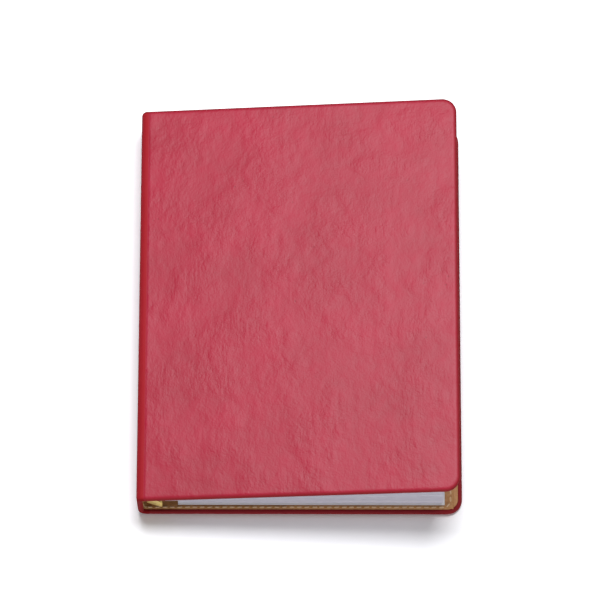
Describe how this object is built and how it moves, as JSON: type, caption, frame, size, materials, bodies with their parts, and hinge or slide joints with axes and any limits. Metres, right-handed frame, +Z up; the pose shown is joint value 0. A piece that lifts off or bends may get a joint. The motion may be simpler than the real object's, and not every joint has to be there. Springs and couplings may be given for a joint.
{
  "type": "notebook cover",
  "caption": "Loose-leaf notebook cover: a lined leather case with rigid panels, folding spine and an opening ring mechanism that holds punched leaves.",
  "frame": {"origin": "middle of the bounding box, at its bottom: under the middle of the case, on the surface that it lies on", "axes": "+X from the spine to the opening edge, +Y along the spine, +Z up, with the case lying on its back panel"},
  "size_m": [0.1736, 0.22, 0.0504],
  "materials": {
    "red_leather": "soft grained, semi-matt",
    "tan_lining": "smooth tan lining",
    "thread": "waxed thread",
    "board": "plain binder's board",
    "brass": "polished gold-coloured plate",
    "steel": "plain pressed sheet",
    "paper": "uncoated white leaves",
    "card": "thin white card"
  },
  "bodies": {
    "back_cover": {"back_leather": "red_leather", "back_board": "board", "back_lining": "tan_lining", "back_pocket": "tan_lining", "back_stitching": "thread"},
    "spine": {"spine_leather": "red_leather", "spine_board": "board", "spine_lining": "tan_lining", "spine_stitching": "thread", "back_fold": "red_leather", "back_fold_lining": "tan_lining", "front_fold": "red_leather", "front_fold_lining": "tan_lining", "ring_plate": "brass", "mechanism_rivets": "brass"},
    "front_cover": {"front_leather": "red_leather", "front_board": "board", "front_lining": "tan_lining", "front_stitching": "thread"},
    "lower_leaves": {"lower_leaves": "paper", "back_sheet": "card"},
    "upper_leaves": {"upper_leaves": "paper"},
    "upper_rings": {"upper_rail": "steel", "upper_half_rings": "brass"},
    "lower_rings": {"lower_rail": "steel", "lower_half_rings": "brass"},
    "top_lever": {"top_lever": "brass"},
    "bottom_lever": {"bottom_lever": "brass"}
  },
  "joints": [
    {"name": "spine_fold", "type": "hinge", "parent": "back_cover", "child": "spine", "pos_m": [-0.0834, 0, 0.0034], "axis": [0, -1, 0], "range_deg": [0, 90], "deforming": ["back_fold", "back_fold_lining"]},
    {"name": "front_cover_fold", "type": "hinge", "parent": "spine", "child": "front_cover", "pos_m": [-0.0834, 0, 0.0258], "axis": [0, -1, 0], "range_deg": [0, 82.73], "deforming": ["front_fold", "front_fold_lining"]},
    {"name": "lower_leaves_turn", "type": "hinge", "parent": "spine", "child": "lower_leaves", "pos_m": [-0.0722, 0, 0.0145], "axis": [0, -1, 0], "range_deg": [-90, 0]},
    {"name": "upper_leaves_turn", "type": "hinge", "parent": "spine", "child": "upper_leaves", "pos_m": [-0.0722, 0, 0.0145], "axis": [0, -1, 0], "range_deg": [0, 82.3]},
    {"name": "upper_rings_open", "type": "hinge", "parent": "spine", "child": "upper_rings", "pos_m": [-0.0829, 0, 0.0197], "axis": [0, -1, 0], "range_deg": [0, 7.5]},
    {"name": "lower_rings_open", "type": "hinge", "parent": "spine", "child": "lower_rings", "pos_m": [-0.0829, 0, 0.0093], "axis": [0, -1, 0], "range_deg": [-7.5, 0]},
    {"name": "top_lever_turn", "type": "hinge", "parent": "spine", "child": "top_lever", "pos_m": [-0.0822, 0.0965, 0.0145], "axis": [0, 0, 1], "range_deg": [0, 9.5]},
    {"name": "bottom_lever_turn", "type": "hinge", "parent": "spine", "child": "bottom_lever", "pos_m": [-0.0822, -0.0965, 0.0145], "axis": [0, 0, -1], "range_deg": [0, 9.5]}
  ],
  "couplings": [
    {"joint": "lower_leaves_turn", "follows": "spine_fold", "ratio": -1},
    {"joint": "upper_leaves_turn", "follows": "front_cover_fold", "ratio": 0.99335},
    {"joint": "lower_rings_open", "follows": "upper_rings_open", "ratio": -1},
    {"joint": "top_lever_turn", "follows": "upper_rings_open", "ratio": 1.2666},
    {"joint": "bottom_lever_turn", "follows": "upper_rings_open", "ratio": 1.2666}
  ]
}
